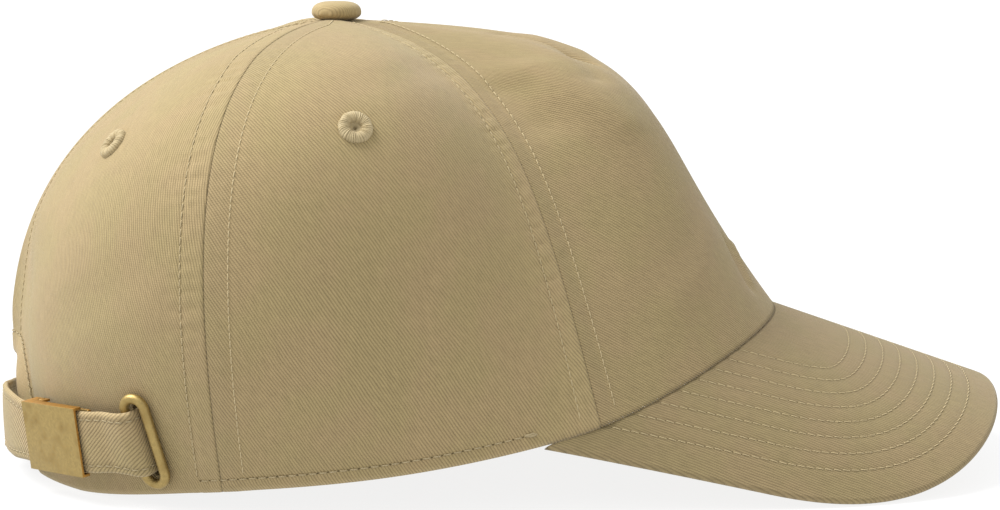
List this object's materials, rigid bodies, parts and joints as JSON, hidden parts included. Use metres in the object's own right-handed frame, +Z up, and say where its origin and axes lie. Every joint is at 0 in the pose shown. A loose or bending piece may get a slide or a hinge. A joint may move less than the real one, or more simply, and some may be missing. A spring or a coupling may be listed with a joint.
{
  "type": "five panel cap",
  "caption": "Casual cloth cap with a seamed crown, a curved row-stitched peak, thread eyelets, a covered button, and a rear arch closed by a cloth strap, a metal flip buckle and a slot ring.",
  "frame": {"origin": "middle of the bounding box at the surface the cap rests on", "axes": "+X towards the tip of the peak, +Y towards the wearer's left, +Z up"},
  "size_m": [0.2764, 0.1746, 0.1262],
  "materials": {
    "cloth": "washed cotton twill, matt",
    "band": "plain woven cotton, matt",
    "thread": "embroidery thread, soft sheen",
    "brass": "antiqued satin"
  },
  "bodies": {
    "root": {"front_panel": "cloth", "side_panel_right": "cloth", "side_panel_left": "cloth", "back_panel_right": "cloth", "back_panel_left": "cloth", "side_panel_eyelet_right": "thread", "side_panel_eyelet_left": "thread", "back_panel_eyelet_right": "thread", "back_panel_eyelet_left": "thread", "top_button": "cloth", "peak": "cloth", "sweatband": "band", "strap": "cloth", "strap_ring": "brass", "buckle_cover": "brass", "buckle_base": "brass", "buckle_pin": "brass"}
  },
  "joints": []
}
